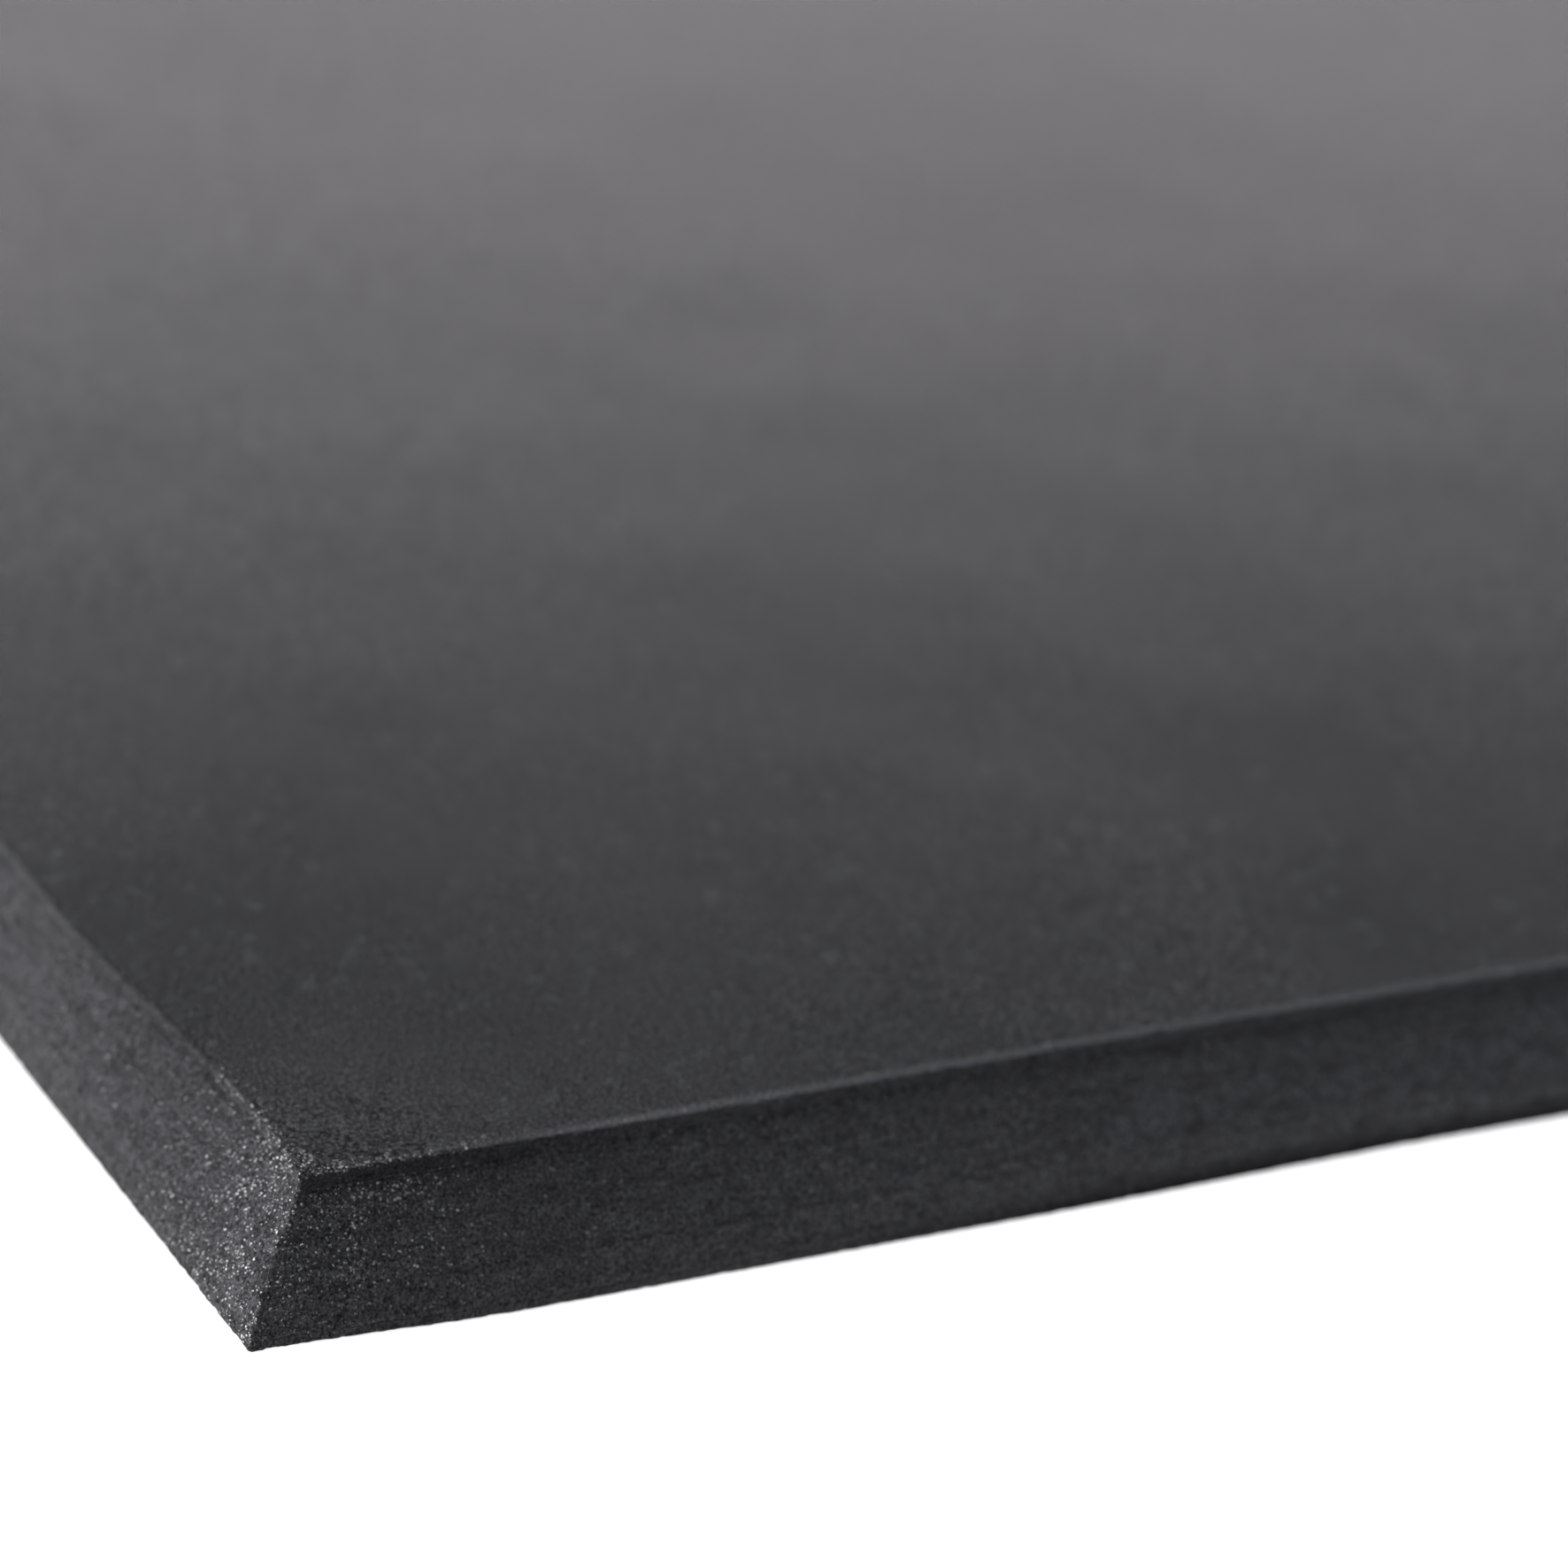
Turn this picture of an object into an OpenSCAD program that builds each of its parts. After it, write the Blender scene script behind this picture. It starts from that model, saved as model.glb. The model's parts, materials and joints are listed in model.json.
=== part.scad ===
// Balance pad: a laminated slab of closed-cell foam with bevelled sides.
// Origin at the centre of the underside, +X along the length, +Z up, millimetres.

/* [Pad] */
// Length of the underside along X
pad_length = 500; // [300:5:600]
// Width of the underside along Y
pad_width = 410; // [250:5:600]
// Total thickness of the pad
pad_thickness = 20; // [14:0.5:40]

/* [Layers] */
// Thickness of the dense smooth skin that is stood on
skin_thickness = 2.4; // [1:0.1:3]
// Thickness of the non-slip sheet under the pad
grip_thickness = 1.8; // [1:0.1:3]
// Thickness of each hot-melt adhesive film
film_thickness = 0.2; // [0.1:0.05:0.4]

/* [Bevel] */
// How far the top skin is set in from the underside's outline, on each side
bevel_run = 10; // [0:0.5:20]
// Share of the bevel's run that falls in the lower foam ply, where the cut is steepest
lower_share = 0.2; // [0:0.05:0.5]

/* [Hidden] */

ply_count = 3;
film_count = ply_count + 1;
core_thickness = pad_thickness - skin_thickness - grip_thickness - film_count * film_thickness;
ply_thickness = core_thickness / ply_count;
layer_pitch = ply_thickness + film_thickness;

// Level of the underside of each foam ply, counted from 0 at the bottom
function ply_base(i) = grip_thickness + film_thickness + i * layer_pitch;
function ply_top(i) = ply_base(i) + ply_thickness;
skin_base = pad_thickness - skin_thickness;

// Set-in of the cut side at level z: upright at the grip sheet and at the skin,
// steep in the lower ply and gentler above it
function inset_at(z) = lookup(z, [
    [ply_base(0), 0],
    [ply_top(0), lower_share * bevel_run],
    [skin_base, bevel_run]
]);

// End view of one layer, as wide as span at the underside of the pad
module layer_profile(span, z_low, z_high) {
    half_low = span / 2 - inset_at(z_low);
    half_high = span / 2 - inset_at(z_high);
    polygon([
        [-half_low, z_low],
        [half_low, z_low],
        [half_high, z_high],
        [-half_high, z_high]
    ]);
}

// One layer of the pad between two levels, with its four cut sides meeting in mitred corners
module layer(z_low, z_high) {
    intersection() {
        rotate([90, 0, 0])
            linear_extrude(height = pad_width, center = true)
                layer_profile(pad_length, z_low, z_high);
        rotate([90, 0, 90])
            linear_extrude(height = pad_length, center = true)
                layer_profile(pad_width, z_low, z_high);
    }
}

// Foam ply number i, counted from 0 at the bottom
module foam_ply(i) {
    layer(ply_base(i), ply_top(i));
}

// Adhesive film that fills the gap under level z
module film_below(z) {
    layer(z - film_thickness, z);
}

// Rubbery sheet that lies on the floor
module base_grip() {
    color("#26272a") layer(0, grip_thickness);
}

module base_bond() {
    color("#8a8778") film_below(ply_base(0));
}

module lower_foam_ply() {
    color("#36373b") foam_ply(0);
}

module lower_core_bond() {
    color("#8a8778") film_below(ply_base(1));
}

module middle_foam_ply() {
    color("#3a3b3f") foam_ply(1);
}

module upper_core_bond() {
    color("#8a8778") film_below(ply_base(2));
}

module upper_foam_ply() {
    color("#3e3f43") foam_ply(2);
}

module skin_bond() {
    color("#8a8778") film_below(skin_base);
}

// Dense sheet with a smooth face, cut upright along its edge
module top_skin() {
    color("#45474b") layer(skin_base, pad_thickness);
}

base_grip();
base_bond();
lower_foam_ply();
lower_core_bond();
middle_foam_ply();
upper_core_bond();
upper_foam_ply();
skin_bond();
top_skin();
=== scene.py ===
"""The looks of a balance pad: laminated foam with knife-cut bevelled sides and a smooth top skin.

Everything is in metres in the part's own frame: origin at the centre of the underside, +X along
the length and +Z up. Every layer of the CAD model is replaced by a finer mesh of the same layer,
with a torn and unevenly cut side.
"""

import json
import math

import bpy
import numpy as np
from mathutils import Matrix, Vector

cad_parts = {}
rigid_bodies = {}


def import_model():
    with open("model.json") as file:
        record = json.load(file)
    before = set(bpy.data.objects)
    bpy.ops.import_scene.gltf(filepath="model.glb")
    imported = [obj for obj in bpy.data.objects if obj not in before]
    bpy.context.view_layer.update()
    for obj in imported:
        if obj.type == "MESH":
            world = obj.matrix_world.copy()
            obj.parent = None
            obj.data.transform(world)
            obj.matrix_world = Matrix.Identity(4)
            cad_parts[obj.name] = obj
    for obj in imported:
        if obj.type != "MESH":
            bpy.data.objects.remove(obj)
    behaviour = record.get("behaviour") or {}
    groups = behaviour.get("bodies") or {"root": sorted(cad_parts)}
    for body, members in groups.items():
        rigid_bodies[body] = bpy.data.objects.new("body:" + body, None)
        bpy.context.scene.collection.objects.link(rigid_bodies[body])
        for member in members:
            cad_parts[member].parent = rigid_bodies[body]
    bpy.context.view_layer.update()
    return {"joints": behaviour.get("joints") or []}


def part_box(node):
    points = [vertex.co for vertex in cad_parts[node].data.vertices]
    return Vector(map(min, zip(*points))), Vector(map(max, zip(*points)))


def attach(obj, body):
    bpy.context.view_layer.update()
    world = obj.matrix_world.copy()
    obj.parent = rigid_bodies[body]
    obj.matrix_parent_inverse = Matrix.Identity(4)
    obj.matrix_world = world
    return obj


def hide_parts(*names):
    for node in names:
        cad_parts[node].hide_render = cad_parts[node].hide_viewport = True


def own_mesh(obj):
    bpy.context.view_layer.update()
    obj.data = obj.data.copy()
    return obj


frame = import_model()

MM = 0.001

# The layers from the floor up, as the CAD names them
LAYERS = (
    "base_grip",
    "base_bond",
    "lower_foam_ply",
    "lower_core_bond",
    "middle_foam_ply",
    "upper_core_bond",
    "upper_foam_ply",
    "skin_bond",
    "top_skin",
)
BOX = {node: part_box(node) for node in LAYERS}
PAD_LOW, PAD_HIGH = BOX["base_grip"][0], BOX["top_skin"][1]
HALF_LENGTH = BOX["base_grip"][1].x
HALF_WIDTH = BOX["base_grip"][1].y

# Mesh density: segments along the length and the width, round a corner, and up a side
LONG_SEGMENTS, WIDE_SEGMENTS = 1200, 960
CORNER_SEGMENTS = 6
ROW_STEP = 0.42 * MM
HIDDEN_CELLS = (48, 40)
SKIN_CELLS = (240, 192)
GRIP_CELLS = (300, 240)

# Corners seen from above, and the worn edge (arris) between the cut sides and the stood-on face
CORNER_RADIUS = 0.4 * MM
ARRIS_RADIUS = 0.5 * MM
# How far the face's corners are lifted, and how far the lift and the torn cut reach from a corner
CORNER_LIFT = 0.35 * MM
LIFT_REACH = 24 * MM
TORN_REACH = 20 * MM

# Uneven cut. How far the short sides' arris stands out, by their corners and further on, and the
# gaps to the corner between which it turns
LEAN_BY_CORNER, LEAN_FAR_OFF = -1.8 * MM, 2.3 * MM
LEAN_START, LEAN_END = 20 * MM, 75 * MM
# How far the long sides bow out along the floor, between which gaps to their corners it rises and
# falls, and how far into the pad the uneven cut moves the layers
FOOT_BOW = 1.7 * MM
BOW_RISE, BOW_FALL = (-10 * MM, 30 * MM), (180 * MM, 100 * MM)
CUT_DEPTH = (60 * MM, 8 * MM)

# Underside of the grip sheet, and how far its lower edge is rolled under
STUD_PITCH = 8 * MM
STUD_DEPTH = 0.4 * MM
ROLLED_EDGE = 0.3 * MM

# Brightness of each cut layer's edge
FILM_TONE, SKIN_EDGE_TONE, GRIP_EDGE_TONE = 0.026, 0.022, 0.024
PLY_TONES = {"upper": 0.030, "middle": 0.034, "lower": 0.031}
FLECK_TONE = 0.78
# Share of red that green and blue are, for bare skin and for torn cell walls
SKIN_TINT = (1.10, 1.11)
TORN_TINT = (1.0, 1.03)


# ---------------------------------------------------------------- noise

def lattice(ix, iy, iz, seed):
    """A repeatable number from 0 to 1 for each point of a whole-number lattice."""
    h = (ix * 374761393 + iy * 668265263 + iz * 1442695041 + seed * 974711) & 0xFFFFFFFF
    h = ((h ^ (h >> 13)) * 1274126177) & 0xFFFFFFFF
    h = ((h ^ (h >> 16)) * 2246822519) & 0xFFFFFFFF
    return (h ^ (h >> 15)) / 0xFFFFFFFF


def noise(points, size, seed):
    """Smooth noise from -1 to 1 at points (n, 3), with features of the given size in metres."""
    scaled = points / np.asarray(size, float)
    cell = np.floor(scaled).astype(np.int64)
    t = scaled - cell
    t = t * t * (3 - 2 * t)
    total = np.zeros(len(points))
    for corner in range(8):
        step = np.array([corner & 1, corner >> 1 & 1, corner >> 2 & 1])
        weight = np.prod(np.where(step == 1, t, 1 - t), axis=1)
        total += weight * lattice(*(cell + step).T, seed)
    return 2 * total - 1


def cut_grain(points):
    """How far the knife-cut foam stands out, from open cells, grain and streaks along the cut."""
    run = np.stack([points[:, 0] + points[:, 1], 0 * points[:, 0], points[:, 2]], axis=1)
    streak = noise(run, (16 * MM, 1, 1.1 * MM), 3)
    open_cell = np.clip((noise(points, 1.1 * MM, 4) - 0.45) / 0.4, 0, 1)
    return MM * (
        0.12 * noise(points, 1.6 * MM, 1)
        + 0.12 * noise(points, 0.85 * MM, 2)
        + 0.04 * streak
        - 0.20 * open_cell
    )


def corner_gap(x, y):
    """How far a point is from the nearest corner of the stood-on face."""
    half_x, half_y = BOX["top_skin"][1].x, BOX["top_skin"][1].y
    return np.hypot(half_x - np.abs(x), half_y - np.abs(y))


def torn_share(points):
    """How much more the cut is torn near a corner, from 0 to 1."""
    return np.exp(-((corner_gap(points[:, 0], points[:, 1]) / TORN_REACH) ** 2))


def cut_wander(points):
    """How far the cut line strays from straight, slowly, along a side."""
    flat = points * (1, 1, 0.3)
    return MM * (0.35 * noise(flat, 130 * MM, 5) + 0.12 * noise(flat, 28 * MM, 6))


def top_relief(x, y):
    """Height of the stood-on face over its CAD level: lifted corners and a slow unevenness."""
    points = np.stack([x, y, 0 * x], axis=-1).reshape(-1, 3)
    uneven = 0.16 * noise(points, 95 * MM, 7) + 0.05 * noise(points, 22 * MM, 8)
    lift = CORNER_LIFT * np.exp(-((corner_gap(x, y) / LIFT_REACH) ** 2))
    return lift + MM * uneven.reshape(np.shape(x))


# ---------------------------------------------------------------- meshes

def set_in(z):
    """How far the CAD model's cut side is set in from the underside's outline, at level z."""
    levels = [BOX[node][0].z for node in LAYERS] + [PAD_HIGH.z]
    edges = [HALF_LENGTH - BOX[node][1].x for node in LAYERS]
    return np.interp(z, levels, edges + edges[-1:])


def smooth_step(value, low, high):
    """Eases from 0 at low to 1 at high. Low may be the larger of the two."""
    t = np.clip((value - low) / (high - low), 0, 1)
    return t * t * (3 - 2 * t)


def hand_cut(piece):
    """Moves the sides level, the way the knife strayed from an even bevel."""
    count = len(piece.data.vertices)
    at = np.empty(3 * count)
    piece.data.vertices.foreach_get("co", at)
    at = at.reshape(count, 3)
    x, y, z = at.T.copy()
    rise = set_in(z) / set_in(PAD_HIGH.z)
    gap_x = BOX["top_skin"][1].x - np.abs(x)
    gap_y = BOX["top_skin"][1].y - np.abs(y)
    turn = smooth_step(gap_y, LEAN_START, LEAN_END)
    off_corner = smooth_step(gap_y, -5 * MM, 14 * MM)
    lean = LEAN_BY_CORNER * off_corner * (1 - turn) + LEAN_FAR_OFF * turn
    bow = FOOT_BOW * smooth_step(gap_x, *BOW_RISE) * smooth_step(gap_x, *BOW_FALL)
    at[:, 0] += np.sign(x) * lean * rise * smooth_step(gap_x, *CUT_DEPTH)
    at[:, 1] += np.sign(y) * bow * (1 - rise) * smooth_step(gap_y, *CUT_DEPTH)
    piece.data.vertices.foreach_set("co", at.ravel())
    piece.data.update()


def ring(inset, radius):
    """Points and outward normals round the pad, anticlockwise from the low corner's arc."""
    half = np.array([HALF_LENGTH, HALF_WIDTH]) - inset
    arcs, normals = [], []
    for i, sign in enumerate(((-1, -1), (1, -1), (1, 1), (-1, 1))):
        turn = np.radians(np.linspace(180, 270, CORNER_SEGMENTS + 1) + 90 * i)
        outward = np.stack([np.cos(turn), np.sin(turn)], axis=1)
        arcs.append(np.array(sign) * (half - radius) + radius * outward)
        normals.append(outward)
    points, facing = [], []
    for i, count in enumerate((LONG_SEGMENTS, WIDE_SEGMENTS) * 2):
        share = np.arange(1, count)[:, None] / count
        points += [arcs[i], arcs[i][-1] * (1 - share) + arcs[(i + 1) % 4][0] * share]
        facing += [normals[i], np.repeat(normals[i][-1:], count - 1, axis=0)]
    return np.concatenate(points), np.concatenate(facing)


def sides_of_ring():
    """For each side of a ring: the places of its corner's arc and of its straight run."""
    start, sides = 0, []
    total = 2 * (LONG_SEGMENTS + WIDE_SEGMENTS) + 4 * CORNER_SEGMENTS
    for count in (LONG_SEGMENTS, WIDE_SEGMENTS) * 2:
        arc = np.arange(start, start + CORNER_SEGMENTS + 1)
        run = np.arange(arc[-1], arc[-1] + count + 1) % total
        sides.append((arc, run))
        start = arc[-1] + count
    return sides, total


SIDES, RING_SIZE = sides_of_ring()


def cap(ring_places, half, cells, first):
    """Grid vertices' x and y, and faces that close a ring with that grid, facing up."""
    nx, ny = cells
    x, y = np.meshgrid(
        np.linspace(-half[0], half[0], nx + 1), np.linspace(-half[1], half[1], ny + 1)
    )
    grid = first + np.arange((nx + 1) * (ny + 1)).reshape(ny + 1, nx + 1)
    quads = np.stack([grid[:-1, :-1], grid[:-1, 1:], grid[1:, 1:], grid[1:, :-1]], axis=-1)
    faces = quads.reshape(-1, 4).tolist()
    borders = (grid[0], grid[:, -1], grid[-1, ::-1], grid[::-1, 0])
    for (arc, run), border in zip(SIDES, borders):
        arc, run = ring_places[arc], ring_places[run]
        faces += [(a, b, border[0]) for a, b in zip(arc[:-1], arc[1:])]
        step = (len(run) - 1) // (len(border) - 1)
        middle = step // 2
        for j, (here, there) in enumerate(zip(border[:-1], border[1:])):
            fine = run[j * step : (j + 1) * step + 1]
            faces += [(fine[i], fine[i + 1], here) for i in range(middle)]
            faces.append((here, fine[middle], there))
            faces += [(fine[i], fine[i + 1], there) for i in range(middle, step)]
    return x.ravel(), y.ravel(), faces


def rows_up(z_low, z_high):
    """Rows of a straight cut side between two levels, each as (level, set-in, grain share)."""
    count = max(1, round((z_high - z_low) / ROW_STEP))
    return [(z, set_in(z), 1.0) for z in np.linspace(z_low, z_high, count + 1)]


def build(name, rows, low_cap, high_cap, relief=None):
    """A closed layer: cut sides from rows, and a cap below and above.

    A cap is (cells, inset of its grid from the pad's outline, height function, whether it shows).
    relief(x, y) raises the rows above the layer's own underside, by their share of its height.
    """
    z_low = rows[0][0]
    z_high = max(row[0] for row in rows)
    points = []
    for z, inset, grain in rows:
        flat, facing = ring(inset, CORNER_RADIUS)
        at = np.column_stack([flat, np.full(len(flat), z)])
        out = grain * cut_grain(at) * (1 + torn_share(at)) + cut_wander(at)
        at[:, :2] += facing * out[:, None]
        if relief:
            at[:, 2] += relief(at[:, 0], at[:, 1]) * (z - z_low) / (z_high - z_low)
        points.append(at)
    faces = []
    here = np.arange(RING_SIZE)
    after = np.roll(here, -1)
    for i in range(len(rows) - 1):
        low, high = i * RING_SIZE, (i + 1) * RING_SIZE
        strip = np.stack([low + here, low + after, high + after, high + here], axis=1)
        faces += strip.tolist()
    first = len(rows) * RING_SIZE
    smooth = [True] * len(faces)
    ends = ((low_cap, 0, False), (high_cap, len(rows) - 1, True))
    for (cells, inset, height, shows), row, upward in ends:
        half = (HALF_LENGTH - inset, HALF_WIDTH - inset)
        x, y, made = cap(row * RING_SIZE + here, half, cells, first)
        points.append(np.column_stack([x, y, height(x, y)]))
        faces += made if upward else [face[::-1] for face in made]
        smooth += [shows] * len(made)
        first += len(x)
    mesh = bpy.data.meshes.new(name)
    mesh.from_pydata(np.concatenate(points).tolist(), [], faces)
    mesh.polygons.foreach_set("use_smooth", smooth)
    mesh.update()
    piece = bpy.data.objects.new(name, mesh)
    bpy.context.scene.collection.objects.link(piece)
    return piece


def level(z):
    return lambda x, y: np.full(np.shape(x), z)


def hidden_cap(z):
    """The flat face of a layer that lies against its neighbour."""
    return (HIDDEN_CELLS, set_in(z) + 6 * MM, level(z), False)


def inner_layer(name, node):
    """A foam ply or an adhesive film: cut sides and two hidden flat faces."""
    z_low, z_high = BOX[node][0].z, BOX[node][1].z
    return build(name, rows_up(z_low, z_high), hidden_cap(z_low), hidden_cap(z_high))


def skin_sheet(name):
    """The stood-on sheet: an upright cut edge, a soft worn arris and a gently uneven face."""
    z_low, z_high = BOX["top_skin"][0].z, BOX["top_skin"][1].z
    inset = set_in(z_high)
    rows = [(z, inset, 1.0) for z in np.linspace(z_low, z_high - ARRIS_RADIUS, 5)]
    for turn in np.radians((22.5, 45, 67.5, 90)):
        z = z_high - ARRIS_RADIUS * (1 - math.sin(turn))
        rows.append((z, inset + ARRIS_RADIUS * (1 - math.cos(turn)), 1.0))
    # The relief of the cut fades out over the first millimetres of the face
    for into, grain in ((0.4, 0.8), (0.9, 0.5), (1.6, 0.2), (2.6, 0.0)):
        rows.append((z_high, inset + ARRIS_RADIUS + into * MM, grain))
    face = (SKIN_CELLS, inset + 5 * MM, lambda x, y: z_high + top_relief(x, y), True)
    return build(name, rows, hidden_cap(z_low), face, top_relief)


def stud_pattern(x, y):
    """Underside of the grip sheet: flat-topped diamond studs that touch the floor."""
    wave = np.cos(2 * math.pi * x / STUD_PITCH) * np.cos(2 * math.pi * y / STUD_PITCH)
    groove = np.clip(1 - 2.2 * np.abs(wave), 0, 1)
    return PAD_LOW.z + STUD_DEPTH * groove


def grip_sheet(name):
    """The sheet on the floor: an edge rolled under a little, and studs underneath."""
    z_low, z_high = BOX["base_grip"][0].z, BOX["base_grip"][1].z
    rows = [(z_low, 1.6 * MM, 0.0), (z_low, 0.9 * MM, 0.2)]
    for turn in np.radians((0, 30, 60, 90)):
        z = z_low + ROLLED_EDGE * (1 - math.cos(turn))
        rows.append((z, ROLLED_EDGE * (1 - math.sin(turn)), 0.5))
    rows += [(z, 0.0, 0.9) for z in np.linspace(z_low + 2 * ROLLED_EDGE, z_high, 4)]
    under = (GRIP_CELLS, 5 * MM, stud_pattern, True)
    return build(name, rows, under, hidden_cap(z_high))


# ---------------------------------------------------------------- materials

class Shader:
    """A node material that is built up one short call at a time."""

    def __init__(self, name):
        self.material = bpy.data.materials.new(name)
        self.material.use_nodes = True
        self.tree = self.material.node_tree
        self.surface = self.tree.nodes["Principled BSDF"]

    def add(self, kind, inputs=(), **settings):
        node = self.tree.nodes.new(kind)
        for key, value in settings.items():
            setattr(node, key, value)
        for key, value in dict(inputs).items():
            self.put(node, key, value)
        return node

    def put(self, node, key, value):
        if isinstance(value, bpy.types.NodeSocket):
            self.tree.links.new(value, node.inputs[key])
        else:
            node.inputs[key].default_value = value

    def position(self):
        return self.add("ShaderNodeTexCoord").outputs["Object"]

    def noise(self, at, scale, detail=2.0, rough=0.5):
        values = {"Vector": at, "Scale": scale, "Detail": detail, "Roughness": rough}
        return self.add("ShaderNodeTexNoise", values).outputs["Fac"]

    def ramp(self, value, low, high, to_low=0.0, to_high=1.0):
        values = {0: value, 1: low, 2: high, 3: to_low, 4: to_high}
        return self.add("ShaderNodeMapRange", values, clamp=True).outputs[0]

    def math(self, operation, a, b=0.0):
        return self.add("ShaderNodeMath", {0: a, 1: b}, operation=operation).outputs[0]

    def mix(self, share, a, b):
        node = self.add("ShaderNodeMix", data_type="RGBA")
        for place, value in ((0, share), (6, a), (7, b)):
            if isinstance(value, bpy.types.NodeSocket):
                self.tree.links.new(value, node.inputs[place])
            else:
                node.inputs[place].default_value = value
        return node.outputs[2]

    def bump(self, height, distance, strength=1.0, normal=None):
        node = self.add("ShaderNodeBump", {"Strength": strength, "Distance": distance})
        self.put(node, "Height", height)
        if normal is not None:
            self.put(node, "Normal", normal)
        return node.outputs["Normal"]

    def along_cut(self):
        """Coordinates that run along a side and up it, for streaks left by the knife."""
        split = self.add("ShaderNodeSeparateXYZ", {0: self.position()}).outputs
        run = self.math("ADD", split[0], split[1])
        return self.add("ShaderNodeCombineXYZ", {0: run, 2: split[2]}).outputs[0]

    def facing(self, axis):
        """How far the surface faces along an axis, from -1 to 1."""
        normal = self.add("ShaderNodeNewGeometry").outputs["Normal"]
        return self.add("ShaderNodeSeparateXYZ", {0: normal}).outputs[axis]

    def height(self):
        return self.add("ShaderNodeSeparateXYZ", {0: self.position()}).outputs[2]

    def face_gaps(self):
        """Gaps to the CAD outline of the stood-on face, along X and along Y."""
        half = BOX["top_skin"][1].xy
        split = self.add("ShaderNodeSeparateXYZ", {0: self.position()}).outputs
        return [self.math("SUBTRACT", h, self.math("ABSOLUTE", v)) for h, v in zip(half, split)]

    def corner_gap(self):
        """Gap to the stood-on face's nearest corner."""
        squares = [self.math("MULTIPLY", gap, gap) for gap in self.face_gaps()]
        return self.math("SQRT", self.math("ADD", *squares))

    def rim_gap(self):
        """Gap to the stood-on face's nearest arris, with the short sides as hand_cut leaves them."""
        gap_x, gap_y = self.face_gaps()
        turn = {0: gap_y, 1: LEAN_START, 2: LEAN_END, 3: LEAN_BY_CORNER, 4: LEAN_FAR_OFF}
        lean = self.add("ShaderNodeMapRange", turn, interpolation_type="SMOOTHSTEP").outputs[0]
        return self.math("MINIMUM", self.math("ADD", gap_x, lean), gap_y)


def tint(value, green=1.02, blue=1.12):
    """A cool grey of the given brightness."""
    return (value, value * green, value * blue, 1)


def torn_cells(s, cell_size):
    """Shader value: bright torn cell walls, in patches, and denser near the worn corners."""
    at = s.position()
    near_top = s.ramp(s.height(), PAD_HIGH.z - 5 * MM, PAD_HIGH.z, 0.3, 1.0)
    by_corner = s.ramp(s.corner_gap(), 34 * MM, 7 * MM)
    patch = s.ramp(s.noise(at, 160, 3, 0.6), 0.40, 0.66, 0.25, 1.0)
    wear = s.math("MULTIPLY", s.math("MULTIPLY", by_corner, patch), s.math("SQRT", near_top))
    masks = []
    for size, rarity in ((cell_size, 0.970), (0.6 * cell_size, 0.975)):
        cells = s.add("ShaderNodeTexVoronoi", {"Vector": at, "Scale": 1 / size})
        picked = s.add("ShaderNodeSeparateColor", {0: cells.outputs["Color"]}).outputs[0]
        least = s.math("SUBTRACT", rarity, s.math("MULTIPLY", wear, 0.30))
        chosen = s.ramp(s.math("SUBTRACT", picked, least), 0.0, 0.06)
        masks.append(s.math("MULTIPLY", chosen, s.ramp(cells.outputs["Distance"], 0.62, 0.30)))
    broken = s.ramp(s.noise(at, 3600, 1), 0.42, 0.56)
    return s.math("MULTIPLY", s.math("MAXIMUM", *masks), broken)


def painted_long_side_shade(s, long_side, lumps):
    """Shader value: painted shade on the long sides, which face away from the key light: a dark band
    under the skin's rim, another along the floor, and a darkening towards the corners.
    """
    height, corner = s.height(), s.corner_gap()
    ragged = s.math("ADD", height, s.ramp(lumps, 0.3, 0.7, -1 * MM, 1 * MM))
    by_top = s.ramp(ragged, PAD_HIGH.z - 5 * MM, PAD_HIGH.z - 3 * MM)
    by_top = s.math("MULTIPLY", by_top, s.ramp(corner, 18 * MM, 60 * MM, 1.0, 0.45))
    by_top = s.math("MULTIPLY", by_top, 0.75)
    by_floor = s.ramp(height, 4.0 * MM, 1.6 * MM)
    by_floor = s.math("MULTIPLY", by_floor, s.ramp(corner, 50 * MM, 130 * MM))
    by_corner = s.ramp(corner, 90 * MM, 20 * MM, 0.0, 0.36)
    most = s.math("MAXIMUM", s.math("MAXIMUM", by_top, by_floor), by_corner)
    return s.math("MULTIPLY", long_side, most)


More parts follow.
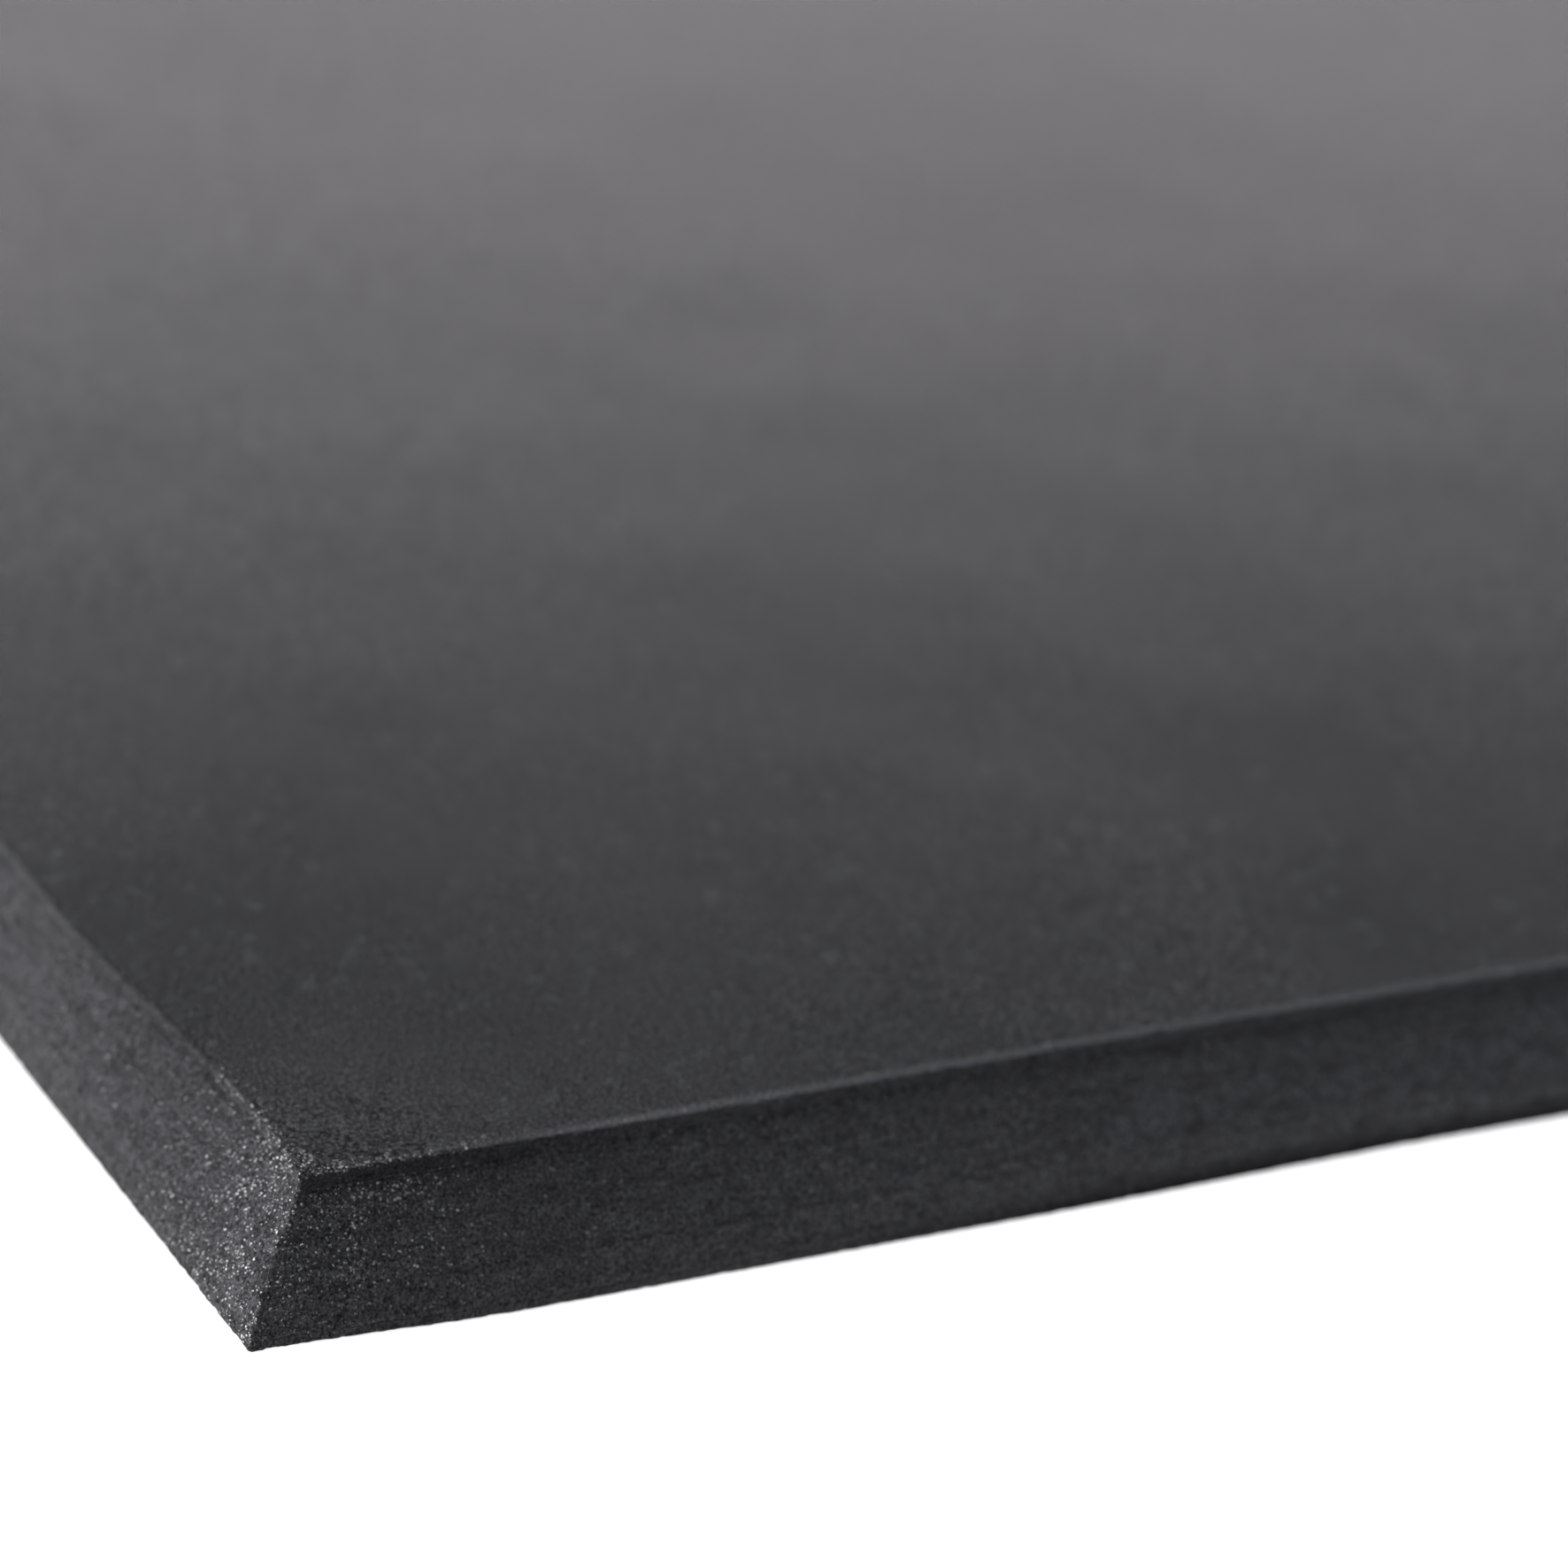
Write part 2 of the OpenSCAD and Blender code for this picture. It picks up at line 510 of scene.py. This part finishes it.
def cut_foam(name, tone, sheen=0.4):
    """Knife-cut closed-cell foam: dark grain, streaks along the cut and bright torn cell walls, with
    painted shade on the long sides.
    """
    s = Shader(name)
    at = s.position()
    coarse = s.noise(at, 420, 3)
    fine = s.noise(at, 1 / (0.42 * MM), 3, 0.7)
    along = {"Vector": s.along_cut(), "Scale": (70, 1, 900)}
    streak = s.noise(s.add("ShaderNodeMapping", along).outputs[0], 1, 2)
    body = s.mix(s.ramp(fine, 0.40, 0.60), tint(tone * 0.2), tint(tone * 1.65))
    lumps = s.ramp(coarse, 0.35, 0.65, 0.6, 1.1)
    shade = s.math("MULTIPLY", s.ramp(streak, 0.32, 0.68, 0.62, 1.33), lumps)
    body = s.mix(shade, tint(tone * 0.2), body)
    long_side = s.math("POWER", s.math("ABSOLUTE", s.facing(1)), 2)
    # Painted shade: the long sides are darkened under the rim, along the floor and by the corners,
    # and gleam less there
    painted_shade = painted_long_side_shade(s, long_side, coarse)
    body = s.mix(painted_shade, body, tint(tone * 0.15))
    # Painted shade as well: the long sides, which face away from the key light, get fewer bright torn
    # cells, and fewer still under the painted shade
    kept = s.ramp(long_side, 0.0, 1.0, 1.0, 0.24)
    kept = s.math("SUBTRACT", kept, s.math("MULTIPLY", painted_shade, 0.3))
    torn = s.math("MULTIPLY", torn_cells(s, 0.42 * MM), kept)
    s.put(s.surface, "Base Color", s.mix(torn, body, tint(FLECK_TONE, *TORN_TINT)))
    s.put(s.surface, "Roughness", s.ramp(fine, 0.3, 0.7, 0.75, 0.45))
    gleam = s.ramp(painted_shade, 0.0, 1.0, sheen, 0.3 * sheen)
    gleam = s.math("MULTIPLY", s.ramp(fine, 0.35, 0.65, 0.4, 1.6), gleam)
    s.put(s.surface, "Specular IOR Level", gleam)
    rough = s.bump(coarse, 0.6 * MM, 0.6)
    rough = s.bump(fine, 0.4 * MM, 1.0, rough)
    s.put(s.surface, "Normal", s.bump(torn, 0.15 * MM, 0.8, rough))
    return s.material


def smooth_skin(name):
    """The satin moulded face: charcoal with faint blotches and a very fine grain, torn at its rim,
    with painted shade towards its corners and a painted highlight along the long sides' rim.
    """
    s = Shader(name)
    at = s.position()
    corner = s.corner_gap()
    blotch = s.noise(at, 110, 3, 0.6)
    cloud = s.noise(at, 14, 2)
    grain = s.noise(at, 2100, 2, 0.7)
    bloom = s.ramp(s.noise(at, 330, 1), 0.62, 0.74)
    body = s.mix(s.ramp(blotch, 0.35, 0.72), tint(0.005, *SKIN_TINT), tint(0.009, *SKIN_TINT))
    body = s.mix(s.ramp(grain, 0.46, 0.58), body, tint(0.036, *SKIN_TINT))
    # Painted shade: the face is painted a little darker towards each corner
    body = s.mix(s.ramp(corner, 150 * MM, 30 * MM, 0.0, 0.22), body, tint(0.004))
    body = s.mix(s.math("MULTIPLY", bloom, 0.35), body, tint(0.06, *SKIN_TINT))
    # Painted highlight: the long sides' rim is a paler line away from the corners, standing in for
    # the catch-light on the arris
    rim = s.ramp(s.face_gaps()[1], 2.2 * MM, 0.4 * MM)
    painted_rim_highlight = s.math("MULTIPLY", rim, s.ramp(corner, 15 * MM, 50 * MM))
    body = s.mix(painted_rim_highlight, body, tint(0.065))
    # Chips of the torn cut reach over the arris on to the face
    wander = s.ramp(s.noise(at, 500, 3), 0.3, 0.7, -1.8 * MM, 1.8 * MM)
    near_rim = s.ramp(s.math("ADD", s.rim_gap(), wander), 2.4 * MM, 0.4 * MM)
    chips = s.math("MULTIPLY", torn_cells(s, 0.50 * MM), near_rim)
    s.put(s.surface, "Base Color", s.mix(chips, body, tint(0.60, *TORN_TINT)))
    gloss = s.ramp(grain, 0.35, 0.65, -0.03, 0.05)
    gloss = s.math("ADD", s.ramp(cloud, 0.3, 0.7, 0.215, 0.255), gloss)
    s.put(s.surface, "Roughness", s.math("MAXIMUM", gloss, s.math("MULTIPLY", chips, 0.7)))
    # Foam doesn't mirror its surroundings at grazing angles as a hard smooth face would
    grazing = s.add("ShaderNodeLayerWeight", {"Blend": 0.5}).outputs["Facing"]
    gleam = s.ramp(grain, 0.42, 0.58, 0.05, 0.93)
    gleam = s.math("MULTIPLY", gleam, s.ramp(grazing, 0.66, 0.92, 1.0, 0.0))
    s.put(s.surface, "Specular IOR Level", gleam)
    soft = s.bump(blotch, 0.2 * MM, 0.1)
    soft = s.bump(grain, 0.045 * MM, 0.6, soft)
    s.put(s.surface, "Normal", s.bump(chips, 0.25 * MM, 1.0, soft))
    return s.material


def grip_rubber(name):
    """Near-black matt elastomer with a fine pebble."""
    s = Shader(name)
    at = s.position()
    pebble = s.noise(at, 1500, 3, 0.6)
    wide = s.noise(at, 60, 2)
    body = s.mix(s.ramp(pebble, 0.3, 0.7), tint(0.010), tint(0.024))
    body = s.mix(s.ramp(wide, 0.4, 0.7, 0.0, 0.4), body, tint(0.028))
    s.put(s.surface, "Base Color", body)
    s.put(s.surface, "Roughness", s.ramp(pebble, 0.3, 0.7, 0.85, 0.65))
    s.put(s.surface, "Specular IOR Level", 0.3)
    s.put(s.surface, "Normal", s.bump(pebble, 0.25 * MM, 0.7))
    return s.material


# ---------------------------------------------------------------- the pad

def paint(piece, *materials):
    for material in materials:
        piece.data.materials.append(material)


def paint_stood_on_face(skin):
    """Gives the second material to the faces that look up and lie inside the arris."""
    half = np.array([HALF_LENGTH, HALF_WIDTH]) - set_in(PAD_HIGH.z) - 0.2 * ARRIS_RADIUS
    for face in skin.data.polygons:
        inside = abs(face.center.x) < half[0] and abs(face.center.y) < half[1]
        face.material_index = int(inside and face.normal.z > 0.45)


def paint_cut_edge(grip):
    """Gives the second material to the faces that look sideways."""
    for face in grip.data.polygons:
        face.material_index = int(abs(face.normal.z) < 0.5)


JOINT = next(j for j in frame["joints"] if j["name"] == "foam_compression")
FOAM_LOW = BOX["lower_foam_ply"][0].z
FOAM_HIGH = BOX["upper_foam_ply"][1].z
# Squashed foam would stop this far short of the skin's glue line, so that the two don't cut together;
# KEEP is worked out from it, but nothing reads it
SQUASH_GAP = 0.01 * MM
KEEP = 1 - (max(JOINT["range_m"]) + SQUASH_GAP) / (FOAM_HIGH - FOAM_LOW)


def squeezes(piece):
    """Hangs the piece on the joint's parent body and gives it a mesh of its own."""
    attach(piece, JOINT["parent"])
    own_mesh(piece)


def stands_for(node):
    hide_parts(node)


def make_skin():
    skin = skin_sheet("skin_sheet")
    paint(skin, cut_foam("skin_cut_edge", SKIN_EDGE_TONE), smooth_skin("skin_face"))
    paint_stood_on_face(skin)
    hand_cut(skin)
    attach(skin, JOINT["child"])
    stands_for("top_skin")


def make_grip():
    grip = grip_sheet("grip_sheet")
    edge = cut_foam("grip_cut_edge", GRIP_EDGE_TONE, sheen=0.3)
    paint(grip, grip_rubber("grip_rubber"), edge)
    paint_cut_edge(grip)
    hand_cut(grip)
    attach(grip, JOINT["parent"])
    stands_for("base_grip")


def make_plies():
    for place, tone in PLY_TONES.items():
        node = place + "_foam_ply"
        ply = inner_layer(place + "_ply_foam", node)
        paint(ply, cut_foam(place + "_cut_foam", tone))
        hand_cut(ply)
        squeezes(ply)
        stands_for(node)


def make_glue_lines(film):
    for node in ("lower_core_bond", "upper_core_bond", "base_bond", "skin_bond"):
        line = inner_layer(node.replace("bond", "glue_line"), node)
        paint(line, film)
        hand_cut(line)
        if "core" in node:
            squeezes(line)
        else:
            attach(line, JOINT["parent"] if node == "base_bond" else JOINT["child"])
        stands_for(node)


# ---------------------------------------------------------------- stage, light and camera

FLOOR_HALF_SIZE = 12.0
# The pad stands this far above the floor, so that its studs don't lie in the floor's plane
FLOOR_GAP = 0.15 * MM
# Brightness of the floor's own glow as a light source, and to the camera near the pad
FLOOR_GLOW, FLOOR_SEEN = 0.85, 0.92
# The surroundings as a light source, and as the camera sees them
SKY_LIGHT, SKY_SEEN = ((0.92, 0.96, 1, 1), 0.02), ((1, 1, 1, 1), 1.0)


def make_floor():
    """A white floor that shows a faint shadow, and that is clear when seen from below."""
    mesh = bpy.data.meshes.new("floor")
    ends = (-FLOOR_HALF_SIZE, FLOOR_HALF_SIZE)
    mesh.from_pydata([(x, y, 0) for y in ends for x in ends], [], [(0, 1, 3, 2)])
    floor = bpy.data.objects.new("floor", mesh)
    floor.location.z = PAD_LOW.z - FLOOR_GAP
    bpy.context.scene.collection.objects.link(floor)
    s = Shader("studio_floor")
    s.put(s.surface, "Base Color", (0.5, 0.5, 0.5, 1))
    s.put(s.surface, "Roughness", 0.9)
    s.put(s.surface, "Emission Color", (1, 1, 1, 1))
    # To the camera it turns pure white further off, so that it shows no horizon
    reach = s.add("ShaderNodeVectorMath", {0: s.position()}, operation="LENGTH").outputs["Value"]
    white = s.ramp(reach, 0.8, 2.5, FLOOR_SEEN, 1.0)
    seen = s.add("ShaderNodeLightPath").outputs["Is Camera Ray"]
    s.put(s.surface, "Emission Strength", s.ramp(seen, 0.0, 1.0, FLOOR_GLOW, white))
    clear = s.add("ShaderNodeBsdfTransparent").outputs[0]
    behind = s.add("ShaderNodeNewGeometry").outputs["Backfacing"]
    blend = s.add("ShaderNodeMixShader", {0: behind, 1: s.surface.outputs[0], 2: clear})
    s.put(s.tree.nodes["Material Output"], "Surface", blend.outputs[0])
    floor.data.materials.append(s.material)


def make_world():
    """Dim cool surroundings for the light, and plain white behind the pad for the camera."""
    world = bpy.data.worlds.new("studio")
    bpy.context.scene.world = world
    world.use_nodes = True
    tree = world.node_tree
    tree.nodes.clear()
    rays = tree.nodes.new("ShaderNodeLightPath")
    out = tree.nodes.new("ShaderNodeOutputWorld")
    blend = tree.nodes.new("ShaderNodeMixShader")
    for place, (colour, strength) in enumerate((SKY_LIGHT, SKY_SEEN), start=1):
        back = tree.nodes.new("ShaderNodeBackground")
        back.inputs["Color"].default_value = colour
        back.inputs["Strength"].default_value = strength
        tree.links.new(back.outputs[0], blend.inputs[place])
    tree.links.new(rays.outputs["Is Camera Ray"], blend.inputs[0])
    tree.links.new(blend.outputs[0], out.inputs[0])


def softbox(name, place, aim, size, watts, colour=(1, 1, 1), mirrored=False):
    """A rectangular light. Only a mirrored one shows as a reflection in smooth surfaces."""
    light = bpy.data.lights.new(name, "AREA")
    light.shape = "RECTANGLE"
    light.size, light.size_y = size
    light.energy = watts
    light.color = colour
    holder = bpy.data.objects.new(name, light)
    holder.location = place
    holder.rotation_mode = "QUATERNION"
    holder.rotation_quaternion = (Vector(aim) - Vector(place)).to_track_quat("-Z", "Y")
    holder.visible_camera = False
    holder.visible_glossy = mirrored
    bpy.context.scene.collection.objects.link(holder)


def make_lights():
    near = (-HALF_LENGTH, -HALF_WIDTH, 0)
    centre = (0, 0, 0)
    # Only the back panel and the overhead light may show as a sheen on the stood-on face
    softbox("left_key", (-1.15, 0.05, 0.42), near, (0.7, 0.6), 27.0)
    softbox("back_panel", (0.15, 0.735, 0.21), centre, (1.6, 0.40), 3.75, (1, 0.955, 1.0), True)
    softbox("overhead", (-0.1, 0.2, 1.6), centre, (1.6, 1.2), 4.0, mirrored=True)
    softbox("right_fill", (0.6, -0.55, 0.25), (0.25, -0.2, 0), (0.4, 0.3), 6.0, (0.9, 0.95, 1))


# The camera's direction, roll, lens and distance, and where its axis meets the top face as
# shares of the pad's length and width from the centre
CAMERA_AZIMUTH, CAMERA_ELEVATION, CAMERA_ROLL = 30.85, 28.57, 7.26
CAMERA_LENS = 216.1
CAMERA_DISTANCE = 1.3934
CAMERA_AIM = (-0.2472, -0.2796)
# The aperture close by and further off, and the distances from the focus where it starts and stops
# closing
NEAR_FSTOP, FAR_FSTOP = 8.5, 90.0
CLOSING_FROM, CLOSED_AT = 1.5, 2.2


def make_camera():
    a, e, r = map(math.radians, (CAMERA_AZIMUTH, CAMERA_ELEVATION, CAMERA_ROLL))
    forward = Vector((math.sin(a) * math.cos(e), math.cos(a) * math.cos(e), -math.sin(e)))
    level_right = Vector((math.cos(a), -math.sin(a), 0))
    level_up = level_right.cross(forward)
    right = level_right * math.cos(r) + level_up * math.sin(r)
    up = level_up * math.cos(r) - level_right * math.sin(r)
    aim = Vector((2 * HALF_LENGTH * CAMERA_AIM[0], 2 * HALF_WIDTH * CAMERA_AIM[1], PAD_HIGH.z))
    camera = bpy.data.objects.new("camera", bpy.data.cameras.new("camera"))
    axes = Matrix((right, up, -forward)).transposed()
    camera.matrix_world = Matrix.Translation(aim - forward * CAMERA_DISTANCE) @ axes.to_4x4()
    camera.data.lens = CAMERA_LENS
    camera.data.sensor_width = 36
    camera.data.clip_start, camera.data.clip_end = 0.05, 60
    bpy.context.scene.collection.objects.link(camera)
    bpy.context.scene.camera = camera
    focus_on_near_corner(camera)


def focus_on_near_corner(camera):
    """Shallow focus on the near corner from close by, and sharp all over from further off."""
    corner = bpy.data.objects.new("focus_point", None)
    corner.location = (-HALF_LENGTH, -HALF_WIDTH, PAD_HIGH.z / 2)
    bpy.context.scene.collection.objects.link(corner)
    focus = camera.data.dof
    focus.use_dof = True
    focus.focus_object = corner
    focus.aperture_fstop = NEAR_FSTOP
    curve = focus.driver_add("aperture_fstop")
    curve.driver.type = "AVERAGE"
    gap = curve.driver.variables.new()
    gap.type = "LOC_DIFF"
    gap.targets[0].id = camera
    gap.targets[1].id = corner
    for modifier in list(curve.modifiers):
        curve.modifiers.remove(modifier)
    curve.keyframe_points.insert(CLOSING_FROM, NEAR_FSTOP)
    curve.keyframe_points.insert(CLOSED_AT, FAR_FSTOP)


make_skin()
make_grip()
make_plies()
make_glue_lines(cut_foam("smeared_film_edge", FILM_TONE))
make_floor()
make_world()
make_lights()
make_camera()
bpy.context.scene.view_settings.view_transform = "Standard"
